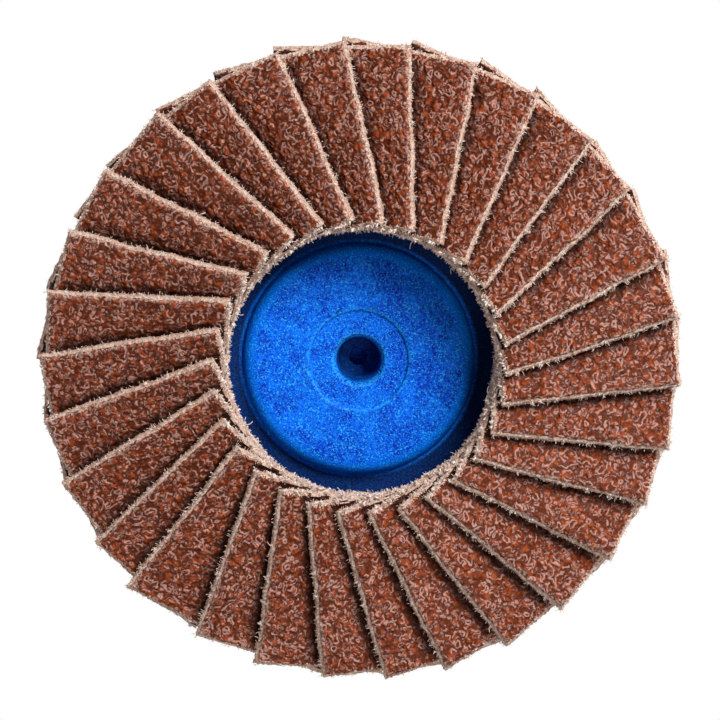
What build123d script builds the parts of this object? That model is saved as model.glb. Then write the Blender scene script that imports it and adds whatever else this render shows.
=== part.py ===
from build123d import *
from math import asin, atan, cos, degrees, radians, sin, sqrt, tan
import os

# Quick-change flap disc, nominally 50 mm across: a moulded plastic plate with a screw stud on its
# back, a bed of cured epoxy, and a ring of coated-abrasive cloth flaps that lie on one another
# like roof tiles.
#
# Frame: millimetres, +Z along the spindle axis towards the work, with the origin in the middle of
# the plate's back seat, where the holder's pad bears. +Y points to the first flap, and flaps are
# counted clockwise as seen from the work side.

# Ring of flaps
FLAP_COUNT = 30
FLAP_THICKNESS = 1.08     # cloth, resin and grain together
FLAP_WIDTH = 10.9         # across the flap, along the sheet
FLAP_LENGTH = 14.2        # from the inner end to the outer end
FLAP_INNER = 10.6         # from the axis to the inner ends
INNER_LEAD = 4.75         # part of the width that lies clockwise of the flap's own radius
OUTER_LEAD = 4.05
FIRST_FLAP_TURN = -0.5    # degrees from +Y to the first flap's radius
LAY_GAP = 0.08            # least space from a flap to the next one

# How far the outer end of each flap strays clockwise from its even place when the ring is laid.
STRAY = (
    0.1, 0.25, 0.4, 0.65, 0.15, 1.1, 0.55, 0.6, 0.5, -0.1,
    -0.2, 0.05, -0.05, -0.1, -0.55, -0.85, -0.65, -0.7, 0.8, -0.3,
    -0.25, -0.3, -0.5, -0.65, -0.85, -0.5, 0.35, -0.2, 0.3, 0.35,
)

# How far each flap is swung clockwise about its free edge, in degrees.
SWING = (
    -0.5, -0.5, 0.0, 0.8, 0.0, 0.0, -0.3, 1.2, 0.0, -2.5,
    -2.0, -2.0, -2.2, -4.2, -3.2, -3.6, -4.5, -4.2, -5.0, -4.0,
    -5.0, -4.2, -3.2, -2.6, -2.4, -2.4, -2.5, -3.0, -1.0, -0.8,
)

# Adhesive bed
BED_INNER_RADIUS = 11.2
BED_THICKNESS = 0.6       # under the lowest edges of evenly laid flaps
BED_BEAD = 2.4            # most that the epoxy rises from the plate, between the flaps
BED_CLEARANCE = 0.02      # from the epoxy to the flaps
BED_MARGIN = 0.8          # bare rim of the plate outside the epoxy

# Backing plate
PLATE_RADIUS = 19.5
PLATE_THICKNESS = 3.0     # from the back seat to the hub face
RIM_THICKNESS = 2.1
RIM_ROUND = 0.5
SEAT_RADIUS = 12.5        # flat back face that bears on the holder's pad
SEAT_SLOPE_WIDTH = 1.2    # width of the slope from the seat up to the thinner rim
GLUE_WELL_RADIUS = 9.2    # inner wall of the ring-shaped well that catches epoxy round the hub
GLUE_WELL_DEPTH = 1.4
HUB_ROUND = 1.2           # rounding of the hub face's edge into the well
HUB_RECESS_RADIUS = 3.95
HUB_RECESS_DEPTH = 0.15
HUB_RECESS_SLOPE = 0.12   # width of the recess's sloped wall

# Cored hole in the hub face, which keeps the moulded stud's wall even
CORE_RADIUS = 1.85
CORE_FLOOR_RADIUS = 1.45
CORE_DEPTH = 3.4
CORE_BEVEL = 0.2
CORE_PIP_RADIUS = 0.72
CORE_PIP_DEPTH = 1.4

# Screw stud
STUD_LENGTH = 6.4
STUD_ROOT_RADIUS = 3.7
STUD_CREST_RADIUS = 4.7
STUD_END_BEVEL = 0.5
STUD_RELIEF_WIDTH = 0.5   # groove in the seat around the stud, out past the thread's crest
STUD_RELIEF_DEPTH = 0.6
THREAD_PITCH = 3.2
THREAD_FOOT = 1.9         # width of the ridge where it leaves the stud
THREAD_CREST = 0.8        # width of the ridge at its crest
THREAD_START = 1.3        # from the seat to the middle of the ridge's first end
THREAD_END = 1.3          # from the stud's end to the middle of the ridge's last end
THREAD_SINK = 0.25        # how far the ridge's profile reaches into the core, so that they fuse

PITCH = 360 / FLAP_COUNT
FLAP_OUTER = FLAP_INNER + FLAP_LENGTH


def flap_slopes():
    """Slope of a flap across its width at its inner and outer ends, in degrees.

    Each flap rises from its tucked edge to its free edge, over the next flap. The inner ends lie
    closest, so the flap's thickness and the pitch there set the slope. The rise from flap to flap
    is the same all along, so the slope falls off as the radius grows.
    """
    layer = FLAP_THICKNESS + LAY_GAP
    step = 2 * FLAP_INNER * tan(radians(PITCH / 2))
    inner = layer / sqrt(step**2 - layer**2)
    outer = inner * FLAP_INNER / FLAP_OUTER
    return degrees(atan(inner)), degrees(atan(outer))


INNER_SLOPE, OUTER_SLOPE = flap_slopes()


def section_plane(turn, radius, slope, lead, swing):
    """Upright plane across an end of a flap: X along the sheet, clockwise and up, and Y out of the
    grain.

    Its origin is the lower corner at the free edge, which it is swung about. Its height puts the
    flap's tucked lower edge on top of the adhesive bed.
    """
    rise = radians(slope)
    clockwise = Vector(1, 0, 0).rotate(Axis.Z, -turn)
    outward = Vector(0, 1, 0).rotate(Axis.Z, -turn)
    free_edge = clockwise * (lead * cos(rise) + FLAP_THICKNESS / 2 * sin(rise))
    height = Vector(0, 0, PLATE_THICKNESS + BED_THICKNESS + FLAP_WIDTH * sin(rise))
    along_sheet = (clockwise * cos(rise) + Vector(0, 0, sin(rise))).rotate(Axis.Z, -swing)
    inward = -outward.rotate(Axis.Z, -swing)
    return Plane(origin=outward * radius + free_edge + height, x_dir=along_sheet, z_dir=inward)


def sheet(index, left, right, bottom, top):
    """Twisted sheet at this flap's place in the ring, ruled from its inner to its outer end.

    The four limits are in the section plane, from the tucked edge and the underside.
    """
    turn = FIRST_FLAP_TURN + index * PITCH
    swing = SWING[index % len(SWING)]
    inner_plane = section_plane(turn, FLAP_INNER, INNER_SLOPE, INNER_LEAD, swing)
    outer_plane = section_plane(turn, FLAP_OUTER, OUTER_SLOPE, OUTER_LEAD, swing)
    stray = Pos(STRAY[index % len(STRAY)], 0)
    corner = Pos(left - FLAP_WIDTH, bottom)
    profile = Rectangle(right - left, top - bottom, align=(Align.MIN, Align.MIN))
    return loft([inner_plane * corner * profile, outer_plane * stray * corner * profile], ruled=True)


def flap(index):
    """One flap: a rectangle of coated-abrasive cloth."""
    return sheet(index, 0, FLAP_WIDTH, 0, FLAP_THICKNESS)


def adhesive_bed():
    """Ring of cured epoxy, moulded to the undersides of all the flaps like a ring of ramps."""
    outer_radius = PLATE_RADIUS - BED_MARGIN
    profile = Pos(BED_INNER_RADIUS, PLATE_THICKNESS) * Rectangle(
        outer_radius - BED_INNER_RADIUS, BED_BEAD, align=(Align.MIN, Align.MIN)
    )
    bed = revolve(Plane.XZ * profile, Axis.Z)
    for index in range(FLAP_COUNT):
        bed -= sheet(index, -BED_CLEARANCE, FLAP_WIDTH, -BED_CLEARANCE, BED_BEAD)
    return bed


def plate_profile():
    """Half section of the plate with its stud and its cored hole, before the thread is added."""
    rim_back = PLATE_THICKNESS - RIM_THICKNESS
    recess_floor = PLATE_THICKNESS - HUB_RECESS_DEPTH
    core_floor = recess_floor - CORE_DEPTH
    outline = Polyline(
        (0, -STUD_LENGTH),
        (STUD_ROOT_RADIUS - STUD_END_BEVEL, -STUD_LENGTH),
        (STUD_ROOT_RADIUS, STUD_END_BEVEL - STUD_LENGTH),
        (STUD_ROOT_RADIUS, STUD_RELIEF_DEPTH),
        (STUD_CREST_RADIUS + STUD_RELIEF_WIDTH, STUD_RELIEF_DEPTH),
        (STUD_CREST_RADIUS + STUD_RELIEF_WIDTH, 0),
        (SEAT_RADIUS, 0),
        (SEAT_RADIUS + SEAT_SLOPE_WIDTH, rim_back),
        (PLATE_RADIUS, rim_back),
        (PLATE_RADIUS, PLATE_THICKNESS),
        (BED_INNER_RADIUS, PLATE_THICKNESS),
        (BED_INNER_RADIUS, PLATE_THICKNESS - GLUE_WELL_DEPTH),
        (GLUE_WELL_RADIUS, PLATE_THICKNESS - GLUE_WELL_DEPTH),
        (GLUE_WELL_RADIUS, PLATE_THICKNESS),
        (HUB_RECESS_RADIUS, PLATE_THICKNESS),
        (HUB_RECESS_RADIUS - HUB_RECESS_SLOPE, recess_floor),
        (CORE_RADIUS + CORE_BEVEL, recess_floor),
        (CORE_RADIUS, recess_floor - CORE_BEVEL),
        (CORE_FLOOR_RADIUS, core_floor),
        (CORE_PIP_RADIUS, core_floor),
        (CORE_PIP_RADIUS, core_floor - CORE_PIP_DEPTH),
        (0, core_floor - CORE_PIP_DEPTH),
        close=True,
    )
    return make_face(Plane.XZ * outline)


def thread_ridge():
    """Coarse right-hand ridge that winds down the stud, trimmed to run out at both ends."""
    height = STUD_LENGTH - THREAD_START - THREAD_END
    sunk_radius = STUD_ROOT_RADIUS - THREAD_SINK
    path = Pos(0, 0, -STUD_LENGTH + THREAD_END) * Helix(
        pitch=THREAD_PITCH, height=height, radius=sunk_radius
    )
    depth = STUD_CREST_RADIUS - sunk_radius
    profile = Polyline(
        (0, -THREAD_FOOT / 2),
        (depth, -THREAD_CREST / 2),
        (depth, THREAD_CREST / 2),
        (0, THREAD_FOOT / 2),
        close=True,
    )
    start = path @ 0
    face = Plane(origin=start, x_dir=(1, 0, 0), z_dir=path % 0) * make_face(profile)
    return sweep(face, path=path, is_frenet=True)


def circles(solid, radius):
    """The solid's round edges of this radius."""
    return solid.edges().filter_by(GeomType.CIRCLE).filter_by(
        lambda edge: abs(edge.radius - radius) < 1e-6
    )


def backing_plate():
    """The plate, its stud and the stud's thread, moulded as one piece of glass-filled nylon."""
    plate = revolve(plate_profile(), Axis.Z)
    plate = fillet(circles(plate, PLATE_RADIUS), RIM_ROUND)
    hub_edge = circles(plate, GLUE_WELL_RADIUS).sort_by(Axis.Z)[-1]
    plate = fillet(hub_edge, HUB_ROUND)
    return plate + thread_ridge()


def write(node, shape):
    shape.label = node
    export_step(shape, os.path.join("parts", node + ".step"))


os.makedirs("parts", exist_ok=True)
write("backing_plate", backing_plate())
write("adhesive_bed", adhesive_bed())
for flap_index in range(FLAP_COUNT):
    write(f"flap_{flap_index + 1:02d}", flap(flap_index))
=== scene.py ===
from math import cos, radians, sin

import bmesh
import bpy
from mathutils import Matrix, Vector


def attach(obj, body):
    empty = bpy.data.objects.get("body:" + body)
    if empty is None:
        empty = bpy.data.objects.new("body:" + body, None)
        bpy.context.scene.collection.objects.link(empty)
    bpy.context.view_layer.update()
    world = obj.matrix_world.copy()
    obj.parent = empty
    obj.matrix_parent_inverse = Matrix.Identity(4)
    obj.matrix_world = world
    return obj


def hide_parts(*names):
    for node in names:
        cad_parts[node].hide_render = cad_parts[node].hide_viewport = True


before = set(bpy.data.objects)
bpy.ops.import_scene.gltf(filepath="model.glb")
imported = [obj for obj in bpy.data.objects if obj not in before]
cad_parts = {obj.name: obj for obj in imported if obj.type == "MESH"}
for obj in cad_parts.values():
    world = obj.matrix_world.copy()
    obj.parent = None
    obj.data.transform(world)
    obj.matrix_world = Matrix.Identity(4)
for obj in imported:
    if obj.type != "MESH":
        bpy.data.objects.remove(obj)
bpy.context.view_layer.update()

# ---------------------------------------------------------------------------------------------
# Backing plate
# Injection-moulded glass-filled nylon, with its screw stud in one piece. The mould is spark
# eroded, so the face has a fine grain, with painted glints for its sparkle, and the blue
# colorant is a little cloudy. Painted highlights lie on the edges of its recess, hole and hub,
# and painted shade lies in the well by the flaps and down in the hole.
# ---------------------------------------------------------------------------------------------


class Wire:
    """An output of a node. A sum written on it adds Math nodes to its tree."""

    def __init__(self, tree, socket):
        self.tree = tree
        self.socket = socket

    def __add__(self, other):
        return total(self, "ADD", other)

    def __sub__(self, other):
        return total(self, "SUBTRACT", other)

    def __mul__(self, other):
        return total(self, "MULTIPLY", other)

    def __truediv__(self, other):
        return total(self, "DIVIDE", other)

    def __radd__(self, other):
        return total(other, "ADD", self)

    def __rsub__(self, other):
        return total(other, "SUBTRACT", self)


def node(tree, kind, inputs=(), output=0, **settings):
    """Adds a node with these inputs, given by name or by place, and returns one of its outputs."""
    made = tree.nodes.new(kind)
    for name, setting in settings.items():
        setattr(made, name, setting)
    for name, given in dict(inputs).items():
        if isinstance(given, Wire):
            tree.links.new(given.socket, made.inputs[name])
        else:
            made.inputs[name].default_value = given
    return Wire(tree, made.outputs[output])


def tree_of(parts):
    """The tree that the wires among these parts belong to."""
    return next(part.tree for part in parts if isinstance(part, Wire))


def number(operation, *parts):
    """A Math node on these numbers."""
    return node(tree_of(parts), "ShaderNodeMath", enumerate(parts), operation=operation)


def arrow(operation, *parts, output=0):
    """A Vector Math node on these vectors."""
    kind = "ShaderNodeVectorMath"
    return node(tree_of(parts), kind, enumerate(parts), output, operation=operation)


def scaled(vector, factor):
    """A vector made longer by a factor."""
    inputs = {0: vector, 3: factor}
    return node(vector.tree, "ShaderNodeVectorMath", inputs, operation="SCALE")


def vector_of(tree, *parts):
    """A vector of these parts, in order of x, y and z. Parts left out are nought."""
    return node(tree, "ShaderNodeCombineXYZ", enumerate(parts))


def parts_of(vector):
    """The x, y and z of a vector."""
    split = vector.tree.nodes.new("ShaderNodeSeparateXYZ")
    vector.tree.links.new(vector.socket, split.inputs[0])
    return [Wire(vector.tree, part) for part in split.outputs]


def total(left, operation, right):
    """One of the four sums, on numbers or on vectors."""
    kinds = {part.socket.type for part in (left, right) if isinstance(part, Wire)}
    sum_of = arrow if kinds & {"VECTOR", "RGBA"} else number
    return sum_of(operation, left, right)


def ease(value, low, high, start=0.0, end=1.0):
    """Turns smoothly from start to end as value goes from low to high."""
    inputs = {"Value": value, "From Min": low, "From Max": high, "To Min": start, "To Max": end}
    return node(value.tree, "ShaderNodeMapRange", inputs, interpolation_type="SMOOTHSTEP")


def blend_colours(share, first, second):
    """Goes from the first colour to the second as share goes from 0 to 1."""
    inputs = {0: share, 6: first, 7: second}
    return node(share.tree, "ShaderNodeMix", inputs, 2, data_type="RGBA")


def clouds(at, scale, detail=2.0, roughness=0.5, output=0):
    """Soft noise, scale in lumps a millimetre. Output 0 is a number and 1 is a vector."""
    inputs = {"Vector": at, "Scale": scale, "Detail": detail, "Roughness": roughness}
    return node(at.tree, "ShaderNodeTexNoise", inputs, output)


def cells(at, scale, output="Distance"):
    """Cell pattern, scale in cells a millimetre: the distance from each middle, or a colour."""
    return node(at.tree, "ShaderNodeTexVoronoi", {"Vector": at, "Scale": scale}, output)


def new_finish(name):
    """An empty material, its tree and its shader."""
    material = bpy.data.materials.new(name)
    material.use_nodes = True
    tree = material.node_tree
    return material, tree, tree.nodes["Principled BSDF"]


def connect(tree, shader, **inputs):
    """Links wires to the shader's sockets, whose names have spaces for underscores."""
    for name, wire in inputs.items():
        tree.links.new(wire.socket, shader.inputs[name.replace("_", " ")])


def relief(height, distance, strength=1.0):
    """Bump of this height pattern, its full height in metres."""
    inputs = {"Height": height, "Distance": distance, "Strength": strength}
    return node(height.tree, "ShaderNodeBump", inputs)


def object_millimetres(tree):
    """The place on the object in millimetres."""
    return scaled(node(tree, "ShaderNodeTexCoord", output="Object"), 1000.0)


def ring(radius, middle, outside, inside):
    """1 up to the inside distance from this middle radius, fading to 0 at the outside one."""
    return ease(number("ABSOLUTE", radius - middle), outside, inside)


def paint(name, finish):
    """Gives a solid this finish and no other."""
    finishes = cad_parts[name].data.materials
    finishes.clear()
    finishes.append(finish)


NYLON_DEEP = (0.0001, 0.008, 0.38, 1)
NYLON_BRIGHT = (0.001, 0.18, 1.0, 1)
# The next two colours are painted light: glints, and shade in the well and down in the hole
NYLON_PAINTED_GLINT = (0.03, 0.50, 1.0, 1)
NYLON_PAINTED_SHADE = (0.0009, 0.012, 0.068, 1)
NYLON_GRAIN = 6.2          # grains of the mould's finish a millimetre
NYLON_CLOUDS = 0.45        # clouds of the colorant a millimetre
# Painted glints a millimetre
PAINTED_GLINT_SCALE = 8.5
NYLON_RELIEF = 0.00006
NYLON_SHEEN = 0.1
PIP_RADIUS = 0.72
HOLE_RADIUS = 1.85
HOLE_RIM_RADIUS = 2.0
RECESS_RADIUS = 4.0
HUB_HIGHLIGHT_RADIUS = 8.9        # rounded edge of the hub, lightened by a painted highlight
FACE_SHADE_START = 8.8           # radius on the hub face where painted shade starts to darken it
FACE_SHADE_FULL = 9.6
FACE_SHADE_RAGGED = 1.2          # how far the start of that painted shade wanders
FACE_SHADE_SHARE = 0.1
WELL_SHADE_START = 9.3           # radius from which painted shade starts to darken the well's floor
WELL_SHADE_FULL = 9.6
WELL_LEVEL = 1.3           # height just under the well's floor, where the painted shade stops
HOLE_LEVEL = -2.5          # height just under the hole's bottom, where its painted shade stops
LEVEL_FADE = 0.2
RECESS_HIGHLIGHT_STRENGTH = 0.4           # how strong the painted highlights on the edges of the recess, the hole and the hub are
HOLE_HIGHLIGHT_STRENGTH = 0.6
HUB_HIGHLIGHT_STRENGTH = 0.6

plate_nylon, tree, shader = new_finish("blue_nylon")
place = object_millimetres(tree)
high = parts_of(place)[2]
radius = arrow("LENGTH", place * (1.0, 1.0, 0.0), output=1)
mould_grain = clouds(place, NYLON_GRAIN, 2.0, 0.7)
cloudiness = clouds(place, NYLON_CLOUDS, 3.0, 0.6)

# Grain and clouds in the blue, painted highlights on the edges of the recess, the hole and the
# hub, and painted glints all over
tint = ease(mould_grain, 0.37, 0.61) * 0.66 + ease(cloudiness, 0.4, 0.6) * 0.34
painted_glints = ease(clouds(place + (6.0, 2.0, 0.0), PAINTED_GLINT_SCALE, 1.0), 0.56, 0.68)
rim_highlights = ring(radius, RECESS_RADIUS, 0.22, 0.05) * RECESS_HIGHLIGHT_STRENGTH
rim_highlights = rim_highlights + ring(radius, HOLE_RIM_RADIUS, 0.3, 0.05) * HOLE_HIGHLIGHT_STRENGTH
hub_highlight_ring = ring(radius, HUB_HIGHLIGHT_RADIUS, 0.9, 0.3)
grainy_rim_highlights = rim_highlights * ease(mould_grain, 0.36, 0.6)

# Painted shade in the well by the flaps, on the hub face next to it and down in the hole, less on
# the hole's pip
ragged = radius + (clouds(place, 0.7, 4.0, 0.6) - 0.5) * FACE_SHADE_RAGGED
face_shade = ease(ragged, FACE_SHADE_START, FACE_SHADE_FULL) * FACE_SHADE_SHARE
well_shade = number("MAXIMUM", face_shade, ease(radius, WELL_SHADE_START, WELL_SHADE_FULL))
well_shade = well_shade * ease(high, WELL_LEVEL - LEVEL_FADE, WELL_LEVEL)
hole_shade = ease(radius, HOLE_RADIUS, HOLE_RADIUS - 0.2)
hole_shade = hole_shade * ease(high, HOLE_LEVEL - LEVEL_FADE, HOLE_LEVEL)
pip = ease(radius, PIP_RADIUS + 0.05, PIP_RADIUS - 0.1)
painted_shade = number("MAXIMUM", well_shade, hole_shade * (0.8 - pip * 0.6))

# Blue, lightened by the painted highlight on the hub's edge, then painted glints and highlights on
# the rims, then painted shade
skin = blend_colours(tint + hub_highlight_ring * HUB_HIGHLIGHT_STRENGTH, NYLON_DEEP, NYLON_BRIGHT)
skin = blend_colours(number("MAXIMUM", painted_glints * (0.8 + hub_highlight_ring * 0.2), grainy_rim_highlights), skin, NYLON_PAINTED_GLINT)
skin = blend_colours(painted_shade * ease(mould_grain, 0.3, 0.7, 0.98, 0.84), skin, NYLON_PAINTED_SHADE)

# The mould's edges are worn, so the walls of the recess and the hole are eased in the relief
soft_steps = ease(radius, RECESS_RADIUS - 0.3, RECESS_RADIUS + 0.2)
soft_steps = soft_steps + ease(radius, HOLE_RADIUS - 0.1, HOLE_RADIUS + 0.4)
shader.inputs["Specular IOR Level"].default_value = NYLON_SHEEN
connect(
    tree,
    shader,
    Base_Color=skin,
    Roughness=ease(mould_grain, 0.3, 0.7, 0.6, 0.45),
    Normal=relief(mould_grain + soft_steps * 3.0, NYLON_RELIEF),
)
paint("backing_plate", plate_nylon)

# ---------------------------------------------------------------------------------------------
# Adhesive bed
# Two-part epoxy, poured as a ring and cured round the tucked edges of the flaps. It is amber
# brown, glossy where it set in the open, and holds a few bubbles and some brown grit.
# ---------------------------------------------------------------------------------------------

EPOXY_CLEAR = (0.30, 0.115, 0.028, 1)
EPOXY_GRIT = (0.055, 0.016, 0.007, 1)
EPOXY_SWIRLS = 0.9         # swirls, grits and bubbles a millimetre
EPOXY_GRITS = 3.2
EPOXY_BUBBLES = 1.6
EPOXY_RELIEF = 0.00015

epoxy, tree, shader = new_finish("amber_epoxy")
place = object_millimetres(tree)
swirl = clouds(place, EPOXY_SWIRLS, 4.0, 0.6)
grit = ease(cells(place, EPOXY_GRITS), 0.28, 0.12)
bubbles = ease(cells(place, EPOXY_BUBBLES), 0.2, 0.1)
connect(
    tree,
    shader,
    Base_Color=blend_colours(swirl * 0.6 + grit * 0.5, EPOXY_CLEAR, EPOXY_GRIT),
    Roughness=ease(swirl, 0.3, 0.7, 0.16, 0.34),
    Normal=relief(swirl - bubbles * 0.3, EPOXY_RELIEF, 0.6),
)
paint("adhesive_bed", epoxy)

# ---------------------------------------------------------------------------------------------
# Flaps
# Thirty strips cut from a roll of coated abrasive: cotton cloth, a maker coat of brown resin
# and a size coat that has run between the grains of aluminium oxide. The cut edges fray.
# ---------------------------------------------------------------------------------------------

FLAP_COUNT = 30
FIRST_FLAP_TURN = -0.5     # degrees from +Y to the first flap's radius, as in the solids
MEAN_SLOPE = 22            # degrees that a flap rises across its width, halfway along
FLAP_WIDTH = 10.9
FLAP_LENGTH = 14.2
FLAP_THICKNESS = 1.08
CLOTH_THICKNESS = 0.52
COAT_SET_BACK = 0.08       # how far the coat stops short of the cut edges
COAT_FOOT = 0.01           # least height of the coat over the cloth
COAT_LOWEST = 0.03         # height over the cloth past which a face is coat
BARE_END = 0.16            # length of bare cloth at the inner and outer ends
RAGGED_END = 1.1           # how far the line between them wanders
SWAY = 0.55                # how far a cut edge wanders from straight
RAVEL = 0.62               # how far the cloth's threads stand out of a cut edge

COLUMNS = 60               # points across a flap, along it and up its sides
ROWS = 138
LEVELS = 5
HIDDEN_COLUMNS = 10        # columns spent on the width that the next flap covers
FINE_SHARE = 1.3           # width of the finely meshed strip over the width that shows
UNDER_COLUMNS = 5          # points of the underside that are drawn together into one
UNDER_ROWS = 6
CLOTH_LEVEL = 0.5          # height in the block up to which it is cloth
COAT_LEVEL = 0.7           # heights past which its points are coat, and the face of the coat
FACE_LEVEL = 0.9
WELD_DISTANCE = 0.0005
PATTERN_SHIFT = (31.7, 17.3)    # from one flap's place in the patterns to the next one's
SEEDS_APART = 7
BUNCHES = 47.0             # sine that bunches the loose threads along an edge
BUNCHING = 0.022

RESIN = (0.285, 0.053, 0.013, 1)
# The next two are painted shade: resin in the low parts of the lumps, then the dark of the
# hollows, the pits and the strip under the next flap
RESIN_PAINTED_SHADE = (0.13, 0.024, 0.007, 1)
PAINTED_SHADE_BROWN = (0.026, 0.006, 0.003, 1)
GRAIN = (0.27, 0.19, 0.18, 1)
# A painted highlight: the pale pink reflection of the lamps along the resin's runs
PAINTED_HIGHLIGHT_PINK = (0.57, 0.325, 0.27, 1)
CLOTH_PALE = (0.87, 0.67, 0.56, 1)
CLOTH_TAN = (0.52, 0.27, 0.17, 1)
# Resin-soaked cloth, which also serves as painted shade towards the cloth's underside
CLOTH_SOAKED_AND_SHADED = (0.36, 0.11, 0.05, 1)
COTTON_PALE = (0.94, 0.83, 0.75, 1)
COTTON_CREAM = (0.66, 0.44, 0.31, 1)

HOLLOW_SHADE_SHARE = 0.3         # how strongly each of these covers the resin; the first and last are painted shade and the third painted highlights
SPECK_SHARE = 0.7
HIGHLIGHT_SHARE = 0.7
FRAY_SHARE = 0.55
UNDER_FLAP_SHADE_SHARE = 0.9

CLUSTERS = 1.5             # clusters of grains, grains, pits and specks a millimetre
GRAINS = 2.9
PITS = 1.25
SPECKS = 3.0
SLOPE_STEP = 0.02          # millimetres between the places where a slope is taken
COAT_RELIEF = 0.0003
COAT_SHEEN = 0.14
CLOTH_RELIEF = 0.00008
COTTON_RELIEF = 0.00003
WEAVE = 0.55               # scale of the cloth's weave


def crumpled(at):
    """The same place, pushed about a little, so that nothing on the coat is straight."""
    push = clouds(at, 1.3, 2.0, 0.6, output=1)
    return at + scaled(push - (0.5, 0.5, 0.5), 0.55)


def coat_lumps(at):
    """Height of the coat, from 0 to about 1: clusters of grains under the resin."""
    bent = crumpled(at)
    clusters = ease(cells(bent, CLUSTERS), 0.62, 0.06)
    grains = ease(cells(bent, GRAINS), 0.62, 0.08)
    swell = clouds(at, 0.6, 2.0)
    return clusters * 0.46 + grains * 0.3 + swell * 0.34


def highlight_lines(at, scale, width):
    """Curved lines of even width, which follow soft noise like the lines of a map: painted
    highlights on the resin's runs.
    """
    here = clouds(at, scale, 1.0)
    east = clouds(at + (SLOPE_STEP, 0.0, 0.0), scale, 1.0) - here
    north = clouds(at + (0.0, SLOPE_STEP, 0.0), scale, 1.0) - here
    steepness = number("SQRT", east * east + north * north) / SLOPE_STEP
    off_line = number("PINGPONG", here, 0.1) / (steepness + 0.05)
    return ease(off_line, width, width * 0.2)


def grain_place(tree):
    """The place on the flat flap in millimetres, as the flap's tree stores it."""
    return node(tree, "ShaderNodeAttribute", output="Vector", attribute_name="grain_at")


def downy(shader, tint):
    """Gives a shader the dull, downy look of cotton."""
    shader.inputs["Roughness"].default_value = 0.9
    shader.inputs["Sheen Weight"].default_value = 0.4
    shader.inputs["Sheen Tint"].default_value = tint


coat, tree, shader = new_finish("size_coat")
place = grain_place(tree)
shelter = node(tree, "ShaderNodeAttribute", output="Fac", attribute_name="shelter")
bent = crumpled(place)
height = coat_lumps(place)

# Painted highlights along curved runs of resin over the coat, in wide ones and small ones by
# turns; they also rise a little in the relief
broken = clouds(place + (5.0, 3.0, 0.0), 1.3, 1.0)
wide_highlight = highlight_lines(bent, 1.15, 0.11) * ease(broken, 0.46, 0.54)
small_highlight = highlight_lines(bent + (3.0, 8.0, 0.0), 2.1, 0.075) * ease(broken, 0.44, 0.36)
run = number("MAXIMUM", wide_highlight, small_highlight * 0.8)

# Pits and bare grains, each in some of the cells only
pitted = bent + (2.0, 7.0, 0.0)
pits = ease(cells(pitted, PITS), 0.3, 0.05) * ease(cells(pitted, PITS, "Color"), 0.4, 0.6)
specks = ease(cells(bent, SPECKS), 0.32, 0.16) * ease(cells(bent, SPECKS, "Color"), 0.55, 0.7)

# Painted shade under the next flap, and worn to the cloth along the free edge
under_flap_shade = ease(shelter + (clouds(place, 1.1, 3.0, 0.7) - 0.5) * 0.5, 0.72, 1.0)
frayed = ease(shelter, 0.08, 0.0) * ease(clouds(place, 3.4, 3.0, 0.7), 0.46, 0.58)

# Painted shade: darker resin in the low parts of the lumps, darker still in the hollows and pits
skin = blend_colours(ease(height, 0.25, 0.6), RESIN_PAINTED_SHADE, RESIN)
hollow_shade = number("MAXIMUM", ease(height, 0.32, 0.18), pits)
skin = blend_colours(hollow_shade * HOLLOW_SHADE_SHARE, skin, PAINTED_SHADE_BROWN)
skin = blend_colours(specks * SPECK_SHARE, skin, GRAIN)
# Then painted highlights along the runs, cloth where the coat is worn, and painted shade under the
# next flap
skin = blend_colours(run * HIGHLIGHT_SHARE, skin, PAINTED_HIGHLIGHT_PINK)
skin = blend_colours(frayed * FRAY_SHARE, skin, CLOTH_PALE)
skin = blend_colours(under_flap_shade * UNDER_FLAP_SHADE_SHARE, skin, PAINTED_SHADE_BROWN)
shader.inputs["Specular IOR Level"].default_value = COAT_SHEEN
connect(
    tree,
    shader,
    Base_Color=skin,
    Roughness=ease(broken, 0.35, 0.65, 0.36, 0.5),
    Normal=relief(height - pits * 0.3 + run * 0.06, COAT_RELIEF),
)

cloth, tree, shader = new_finish("cotton_cloth")
place = grain_place(tree)
high = parts_of(place)[2]
fuzz = clouds(place, 6.0, 3.0, 0.8)
stain = clouds(place, 1.6, 3.0, 0.65)

# Resin soaks into the cloth in spots, most of them near the coat, and the cloth is darker towards
# its underside: painted shade on the underside and at the foot of the cut edges
soaked = ease(clouds(place + (4.0, 0.0, 0.0), 4.4, 3.0, 0.75), 0.52, 0.6)
soaked = soaked * ease(high, 0.0, 0.4, 0.3, 1.0)
low_down = ease(high, 0.4, 0.08)
skin = blend_colours(ease(fuzz * 0.65 + stain * 0.35, 0.46, 0.6), CLOTH_PALE, CLOTH_TAN)
skin = blend_colours(number("MAXIMUM", soaked * 0.8, low_down * 0.6), skin, CLOTH_SOAKED_AND_SHADED)
weave = {"Vector": place, "Scale": WEAVE, "Distortion": 1.2}
warp, weft = (node(tree, "ShaderNodeTexWave", weave, 1, bands_direction=way) for way in "XY")
downy(shader, (1.0, 0.72, 0.58, 1))
connect(
    tree,
    shader,
    Base_Color=skin,
    Normal=relief(fuzz * 2.0 + number("MAXIMUM", warp, weft) * 0.6, CLOTH_RELIEF),
)

cotton, tree, shader = new_finish("loose_cotton")
twist = clouds(grain_place(tree), 4.0, 3.0, 0.7)
downy(shader, (1.0, 0.86, 0.76, 1))
connect(
    tree,
    shader,
    Base_Color=blend_colours(ease(twist, 0.42, 0.62), COTTON_PALE, COTTON_CREAM),
    Normal=relief(twist, COTTON_RELIEF, 0.6),
)


def open_width(given, share):
    """Width of a flap that the next one leaves open, at this share of its length."""
    inner, outer = given["Open Width Inner"], given["Open Width Outer"]
    return inner + (outer - inner) * share


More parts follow.
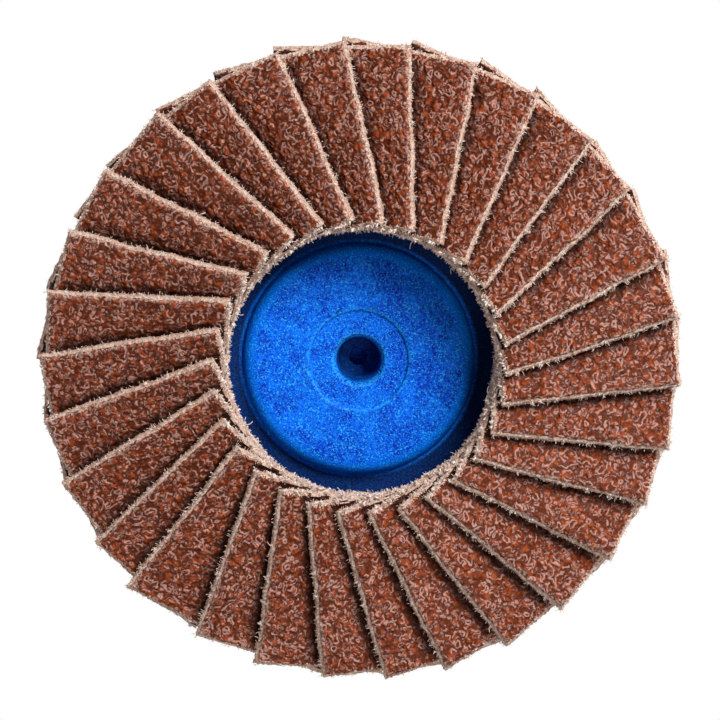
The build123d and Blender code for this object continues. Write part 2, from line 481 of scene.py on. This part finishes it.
def drawn_together(place, points, group):
    """The middle of the group of points that this place on the block falls in.

    The first point is on the border and stays there, so the groups start from the second one.
    """
    steps = points - 1
    nearly_one = 0.9
    middle = number("FLOOR", (place * steps - nearly_one) / group) * group + (group + 1) / 2
    return middle / steps


def stored(geometry, name, value, domain="POINT", kind="FLOAT"):
    """The geometry with a value stored on it under this name."""
    inputs = {"Geometry": geometry, "Name": name, "Value": value}
    return node(geometry.tree, "GeometryNodeStoreNamedAttribute", inputs,
                data_type=kind, domain=domain)


def coloured(geometry, finish, where=True):
    """The geometry in this finish, or only where it says."""
    inputs = {"Geometry": geometry, "Selection": where, "Material": finish}
    return node(geometry.tree, "GeometryNodeSetMaterial", inputs)


def flat_sheet(given, own_place):
    """The cloth and its coat, laid flat."""
    tree = own_place.tree
    width, length, thickness = given["Width"], given["Length"], given["Thickness"]
    cloth_top, set_back = given["Cloth Thickness"], given["Set Back"]
    block = node(tree, "GeometryNodeMeshCube", {"Size": (1, 1, 1), "Vertices X": COLUMNS,
                 "Vertices Y": ROWS, "Vertices Z": LEVELS})
    across, along, up = parts_of(node(tree, "GeometryNodeInputPosition") + (0.5, 0.5, 0.5))

    # The underside needs few points, so those inside its border are drawn together
    inside = number("COMPARE", across, 0.5, 0.4999) * number("COMPARE", along, 0.5, 0.4999)
    under = number("LESS_THAN", up, 0.01) * inside
    across = across + (drawn_together(across, COLUMNS, UNDER_COLUMNS) - across) * under
    along = along + (drawn_together(along, ROWS, UNDER_ROWS) - along) * under

    # The columns are packed where the flap is open to view
    border = HIDDEN_COLUMNS / (COLUMNS - 1)
    fine_width = open_width(given, along) * FINE_SHARE
    in_hidden = number("MINIMUM", across / border, 1.0)
    in_fine = number("MAXIMUM", (across - border) / (1 - border), 0.0)
    x = (width - fine_width) * in_hidden + fine_width * in_fine
    y = along * length

    # Coat: set back from the cut edges by an uneven amount, with a rounded edge and lumps
    flat = vector_of(tree, x, y) + own_place
    uneven = clouds(flat, 2.2, 3.0, 0.7)
    coated = number("GREATER_THAN", up, COAT_LEVEL)
    pull = set_back * ease(uneven, 0.3, 0.7, 0.1, 2.2) * coated
    x_pulled = number("MINIMUM", number("MAXIMUM", x, pull), width - pull)
    y_pulled = number("MINIMUM", number("MAXIMUM", y, pull), length - pull * 2.0)
    edge = number("MINIMUM", width - x, number("MINIMUM", y, length - y))
    shoulder = ease(edge, -0.02, 0.3, 0.45, 1.0)
    coat_height = (thickness - cloth_top) * (0.5 + coat_lumps(flat) * 0.46)
    level = number("MINIMUM", up / CLOTH_LEVEL, 1.0) * cloth_top
    on_face = number("GREATER_THAN", up, FACE_LEVEL)
    z = level + coated * COAT_FOOT + on_face * coat_height * shoulder

    # Cut edges: the cloth's threads stand out of them unevenly, and the free edge isn't straight
    sway = (clouds(flat, 0.28, 2.0) - 0.5) * SWAY
    at_side = vector_of(tree, x, y, up * 0.8) + own_place
    ravel = (clouds(at_side, 4.0, 4.0, 0.85) - 0.45) * RAVEL * (1.0 - coated)
    free_side = number("GREATER_THAN", across, 0.9999)
    outer_side = number("GREATER_THAN", along, 0.9999)
    inner_side = number("LESS_THAN", along, 0.0001)
    x = x_pulled + sway * in_fine + ravel * free_side
    y = y_pulled + sway * 0.6 + ravel * (outer_side - inner_side)
    inputs = {"Geometry": block, "Position": vector_of(tree, x, y, z)}
    sheet = node(tree, "GeometryNodeSetPosition", inputs)
    inputs = {"Geometry": sheet, "Distance": WELD_DISTANCE}
    sheet = node(tree, "GeometryNodeMergeByDistance", inputs)

    # The coat is what lies over the cloth, apart from a ragged bare strip at either end
    _, y, z = parts_of(node(tree, "GeometryNodeInputPosition"))
    from_inner = y - (uneven - 0.4) * RAGGED_END
    from_outer = length - y - (uneven - 0.45) * RAGGED_END
    is_coat = number("GREATER_THAN", z, cloth_top + COAT_LOWEST)
    is_coat = is_coat * number("GREATER_THAN", from_inner, BARE_END)
    is_coat = is_coat * number("GREATER_THAN", from_outer, BARE_END)
    return coloured(stored(sheet, "coated", is_coat, "FACE"), cloth)


def thread(tree, sides, steps, thick, middle, end):
    """A bent cotton thread that stands on its root."""
    inputs = {"Resolution": steps, "Start": (0, 0, -0.06), "Middle": middle, "End": end}
    arc = node(tree, "GeometryNodeCurveQuadraticBezier", inputs)
    inputs = {"Resolution": sides, "Radius": thick / 2}
    outline = node(tree, "GeometryNodeCurvePrimitiveCircle", inputs)
    inputs = {"Curve": arc, "Profile Curve": outline, "Fill Caps": True}
    return coloured(node(tree, "GeometryNodeCurveToMesh", inputs), cotton)


def loose_threads(given):
    """Loose fibres, yarn ends and pulled yarns along three of a flap's cut edges."""
    tree = given["Width"].tree
    flap_number = given["Flap Number"]
    nought = vector_of(tree)
    full_width = vector_of(tree, given["Width"])
    full_length = vector_of(tree, 0.0, given["Length"])
    free_edge = (full_width, full_length)       # where each edge starts, and its run
    inner_end = (nought, full_width)
    outer_end = (full_length, full_width)

    def drawn(low, high, seed):
        """A vector drawn at random for each thread."""
        inputs = {"Min": low, "Max": high, "Seed": seed}
        return node(tree, "FunctionNodeRandomValue", inputs, "Value", data_type="FLOAT_VECTOR")

    def fringe(thread, count, edge, outward, seed, sizes, reach=0.9):
        """Threads spread along an edge and up to reach cloth thicknesses, leaning outward."""
        start, run = edge
        seed = flap_number * SEEDS_APART + seed
        share, _, lift = parts_of(drawn((0, 0, 0), (1, 1, 1), seed))
        bunched = share + number("SINE", share * BUNCHES + flap_number) * BUNCHING
        lift = vector_of(tree, 0.0, 0.0, lift * (given["Cloth Thickness"] * reach))
        inputs = {"Geometry": node(tree, "GeometryNodeMeshLine", {"Count": count}),
                  "Position": start + scaled(run, bunched) + lift}
        roots = node(tree, "GeometryNodeSetPosition", inputs)
        lean = drawn((-0.9, -0.9, -0.7), (0.9, 0.9, 0.9), seed + 1) + outward
        aim = node(tree, "FunctionNodeAlignRotationToVector", {"Vector": lean}, axis="Z")
        spin = drawn((0.0, 0.0, 0.0), (0.0, 0.0, 6.28), seed + 2)
        turn = node(tree, "FunctionNodeRotateRotation", {"Rotation": aim, "Rotate By": spin},
                    rotation_space="LOCAL")
        shortest, longest = sizes
        inputs = {2: shortest, 3: longest, "Seed": seed + 3}
        size = node(tree, "FunctionNodeRandomValue", inputs, 1)
        inputs = {"Points": roots, "Instance": thread, "Rotation": turn, "Scale": size}
        return node(tree, "GeometryNodeInstanceOnPoints", inputs)

    # Sides, steps and thickness, then the points that the thread bends through and ends at
    hair = thread(tree, 3, 2, 0.045, (0.02, 0, 0.16), (0.16, 0, 0.3))
    yarn_end = thread(tree, 4, 2, 0.13, (0.0, 0, 0.1), (0.06, 0, 0.2))
    pulled_yarn = thread(tree, 5, 6, 0.08, (0.15, 0, 0.75), (0.8, 0, 0.5))

    # Thread, how many, edge, way they lean, seed, and their least and greatest size
    return [
        fringe(hair, 130, free_edge, (1.0, 0.0, 0.1), 11, (0.5, 1.1)),
        fringe(hair, 130, inner_end, (0.0, -1.0, 0.3), 23, (0.4, 1.1), reach=2.0),
        fringe(hair, 26, outer_end, (0.0, 1.0, 0.0), 37, (0.4, 0.9)),
        fringe(yarn_end, 60, free_edge, (0.2, 0.0, 0.3), 51, (0.4, 0.85)),
        fringe(yarn_end, 104, inner_end, (0.0, -0.3, 0.2), 63, (0.5, 1.3), reach=2.2),
        fringe(yarn_end, 32, outer_end, (0.0, 0.4, 0.1), 77, (0.4, 0.9), reach=2.0),
        fringe(pulled_yarn, 1, free_edge, (0.9, 0.0, 0.6), 83, (0.3, 0.8)),
        fringe(pulled_yarn, 2, inner_end, (0.0, -0.4, 1.2), 91, (0.3, 0.9)),
    ]


def stretched(whole, given, own_place):
    """The flat flap stretched over its eight corners, with what its finishes need stored."""
    tree = whole.tree
    width, length, thickness = given["Width"], given["Length"], given["Thickness"]
    flat = node(tree, "GeometryNodeInputPosition")
    x, y, z = parts_of(flat)
    whole = stored(whole, "grain_at", flat + own_place, kind="FLOAT_VECTOR")

    # Shelter goes from 0 at the free edge to 1 where the next flap starts. It places the wear
    # along the free edge and the painted shade under the next flap; near the outer end it is cut
    # back, which lightens the painted shade there and widens the worn strip
    shelter = (width - x) / open_width(given, y / length)
    shelter = shelter * ease(length - y, 0.0, 1.0, 0.3, 1.0)
    whole = stored(whole, "shelter", shelter)

    place = node(tree, "GeometryNodeInputPosition")
    corners = [
        node(tree, "GeometryNodeSampleIndex",
             {"Geometry": given["Geometry"], "Value": place, "Index": corner},
             data_type="FLOAT_VECTOR")
        for corner in range(8)
    ]
    for share in (x / width, y / length, z / thickness):
        corners = [first + scaled(second - first, share)
                   for first, second in zip(corners[0::2], corners[1::2])]
    whole = node(tree, "GeometryNodeSetPosition", {"Geometry": whole, "Position": corners[0]})
    return node(tree, "GeometryNodeSetShadeSmooth", {0: whole})


def flap_tree():
    """Tree that makes one flap from a block of eight corners.

    The flap is made flat, in millimetres: x from the tucked edge to the free edge, y from the
    inner end to the outer end and z from the underside to the grain. Then it is stretched over
    the eight corners, which come in order of x first, then y, then z.
    """
    tree = bpy.data.node_groups.new("coated_cloth_flap", "GeometryNodeTree")
    face = tree.interface
    face.new_socket("Geometry", in_out="INPUT", socket_type="NodeSocketGeometry")
    for name in ("Width", "Length", "Thickness", "Cloth Thickness", "Set Back",
                 "Open Width Inner", "Open Width Outer"):
        face.new_socket(name, in_out="INPUT", socket_type="NodeSocketFloat")
    face.new_socket("Flap Number", in_out="INPUT", socket_type="NodeSocketInt")
    face.new_socket("Geometry", in_out="OUTPUT", socket_type="NodeSocketGeometry")
    entry = tree.nodes.new("NodeGroupInput")
    given = {name: Wire(tree, entry.outputs[name]) for name in entry.outputs.keys() if name}

    # Each flap takes its patterns from a place of its own
    flap_number = given["Flap Number"]
    own_place = vector_of(tree, *(flap_number * shift for shift in PATTERN_SHIFT))
    joined = tree.nodes.new("GeometryNodeJoinGeometry")
    for piece in [flat_sheet(given, own_place), *loose_threads(given)]:
        tree.links.new(piece.socket, joined.inputs[0])
    whole = node(tree, "GeometryNodeRealizeInstances", {0: Wire(tree, joined.outputs[0])})
    whole = stretched(whole, given, own_place)
    is_coat = node(tree, "GeometryNodeInputNamedAttribute", {"Name": "coated"},
                   data_type="FLOAT")
    whole = coloured(whole, coat, is_coat)
    result = tree.nodes.new("NodeGroupOutput")
    tree.links.new(whole.socket, result.inputs[0])
    return tree


def flap_corners(solid, index):
    """The eight corners of a flap's solid, by width first, then length, then thickness."""
    turn = radians(FIRST_FLAP_TURN + index * 360 / FLAP_COUNT)
    lean = radians(MEAN_SLOPE)
    clockwise = Vector((cos(turn), -sin(turn), 0))
    rise = Vector((0, 0, 1))
    width_way = clockwise * cos(lean) + rise * sin(lean)
    length_way = Vector((sin(turn), cos(turn), 0))
    grain_way = rise * cos(lean) - clockwise * sin(lean)
    spots = [vertex.co.copy() for vertex in solid.data.vertices]
    corners = []
    for up in (-1, 1):
        for out in (-1, 1):
            for side in (-1, 1):
                way = width_way * side + length_way * out + grain_way * up
                corners.append(max(spots, key=way.dot))
    return corners


made_flap = flap_tree()
identifiers = {item.name: item.identifier for item in made_flap.interface.items_tree
               if item.in_out == "INPUT"}
sizes = {
    "Width": FLAP_WIDTH,
    "Length": FLAP_LENGTH,
    "Thickness": FLAP_THICKNESS,
    "Cloth Thickness": CLOTH_THICKNESS,
    "Set Back": COAT_SET_BACK,
}
TOP_CORNERS = {"Open Width Inner": (4, 5), "Open Width Outer": (6, 7)}   # tucked, then free

blocks = [flap_corners(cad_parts[f"flap_{index + 1:02d}"], index)
          for index in range(FLAP_COUNT)]
for index, corners in enumerate(blocks):
    name = f"flap_{index + 1:02d}"
    cover = blocks[index - 1]       # the flap that lies on this one
    for size, (tucked, free) in TOP_CORNERS.items():
        across = (corners[free] - corners[tucked]).normalized()
        sizes[size] = (corners[free] - cover[free]).dot(across) * 1000
    block = bpy.data.meshes.new(name + "_block")
    block.from_pydata(corners, [], [])
    blank = bpy.data.objects.new(name + "_blank", block)
    bpy.context.scene.collection.objects.link(blank)
    modifier = blank.modifiers.new("coated cloth", "NODES")
    modifier.node_group = made_flap
    for size, value in sizes.items():
        modifier[identifiers[size]] = value
    modifier[identifiers["Flap Number"]] = index + 1
    evaluated = blank.evaluated_get(bpy.context.evaluated_depsgraph_get())
    mesh = bpy.data.meshes.new_from_object(evaluated)
    strip = bpy.data.objects.new(f"coated_strip_{index + 1:02d}", mesh)
    bpy.context.scene.collection.objects.link(strip)
    bpy.data.objects.remove(blank)
    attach(strip, "root")
    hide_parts(name)

# ---------------------------------------------------------------------------------------------
# Floor, lamps and camera
# The disc stands on its stud on a white table, under a soft key lamp up to the north-east and
# three weaker lamps that lift its shadows.
# ---------------------------------------------------------------------------------------------

FLOOR_LEVEL = -0.0064      # the stud's end
TABLE_HALF = 1.5
TABLE_WHITE = (0.8, 0.8, 0.8, 1)
SKY_STRENGTH = 0.11
AIM = Vector((0, 0, 0.003))
CAMERA_DISTANCE = 0.300
CAMERA_NORTH = 5.03        # degrees that the camera leans to +Y, and then to +X
CAMERA_EAST = -1.08
FILM_WIDTH = 36
PICTURE_WIDTH = 720        # pixels
PIXELS_PER_MM = 12.637
HUB_PIXEL = (359.01, 359.94)

white_table, tree, shader = new_finish("white_table")
shader.inputs["Base Color"].default_value = TABLE_WHITE
shader.inputs["Roughness"].default_value = 0.9
rays = tree.nodes.new("ShaderNodeLightPath")
seen = [Wire(tree, rays.outputs[name]) for name in
        ("Is Camera Ray", "Is Glossy Ray", "Is Transmission Ray")]
seen = number("MAXIMUM", number("MAXIMUM", seen[0], seen[1]), seen[2])
glow = node(tree, "ShaderNodeEmission", {"Color": (1, 1, 1, 1), "Strength": 1.0})
surface = node(tree, "ShaderNodeMixShader", {0: seen, 1: Wire(tree, shader.outputs[0]), 2: glow})
tree.links.new(surface.socket, tree.nodes["Material Output"].inputs["Surface"])

floor_mesh = bmesh.new()
bmesh.ops.create_grid(floor_mesh, x_segments=8, y_segments=8, size=TABLE_HALF)
bmesh.ops.translate(floor_mesh, verts=floor_mesh.verts, vec=(0, 0, FLOOR_LEVEL))
floor_data = bpy.data.meshes.new("table")
floor_mesh.to_mesh(floor_data)
floor = bpy.data.objects.new("table", floor_data)
bpy.context.scene.collection.objects.link(floor)
floor_data.materials.append(white_table)

world = bpy.data.worlds.new("studio")
bpy.context.scene.world = world
world.use_nodes = True
tree = world.node_tree
rays = tree.nodes.new("ShaderNodeLightPath")
seen = Wire(tree, rays.outputs["Is Camera Ray"])
dim = node(tree, "ShaderNodeBackground", {"Color": (1, 1, 1, 1), "Strength": SKY_STRENGTH})
bright = node(tree, "ShaderNodeBackground", {"Color": (1, 1, 1, 1), "Strength": 1.0})
surface = node(tree, "ShaderNodeMixShader", {0: seen, 1: dim, 2: bright})
tree.links.new(surface.socket, tree.nodes["World Output"].inputs["Surface"])


def soft_lamp(name, azimuth, elevation, distance, size, power):
    """Round soft lamp aimed at the disc, its azimuth in degrees from +X towards +Y."""
    lamp = bpy.data.lights.new(name, "AREA")
    lamp.shape = "DISK"
    lamp.size = size
    lamp.energy = power
    holder = bpy.data.objects.new(name, lamp)
    bpy.context.scene.collection.objects.link(holder)
    flat, rise = radians(azimuth), radians(elevation)
    away = Vector((cos(rise) * cos(flat), cos(rise) * sin(flat), sin(rise)))
    holder.location = AIM + away * distance
    holder.rotation_euler = away.to_track_quat("Z", "Y").to_euler()


# Azimuth, elevation, distance, width and power
soft_lamp("key lamp", 55, 44, 0.6, 0.30, 4.6)
soft_lamp("fill lamp", 205, 10, 0.7, 0.40, 1.5)
soft_lamp("side lamp", 318, 26, 0.7, 0.40, 0.8)
soft_lamp("top lamp", 300, 60, 0.7, 0.30, 0.8)

lens = bpy.data.cameras.new("camera")
camera = bpy.data.objects.new("camera", lens)
bpy.context.scene.collection.objects.link(camera)
north, east = sin(radians(CAMERA_NORTH)), sin(radians(CAMERA_EAST))
away = Vector((east, north, (1 - north**2 - east**2) ** 0.5))
right = Vector((0, 1, 0)).cross(away).normalized()
upward = away.cross(right)
camera.location = AIM + away * CAMERA_DISTANCE
camera.rotation_euler = Matrix((right, upward, away)).transposed().to_euler()
lens.sensor_width = FILM_WIDTH
lens.lens = FILM_WIDTH * CAMERA_DISTANCE / (PICTURE_WIDTH / PIXELS_PER_MM / 1000)
lens.shift_x = (PICTURE_WIDTH / 2 - HUB_PIXEL[0]) / PICTURE_WIDTH
lens.shift_y = (HUB_PIXEL[1] - PICTURE_WIDTH / 2) / PICTURE_WIDTH
lens.clip_start = 0.01
lens.clip_end = 20
bpy.context.scene.camera = camera

bpy.context.scene.view_settings.view_transform = "Standard"
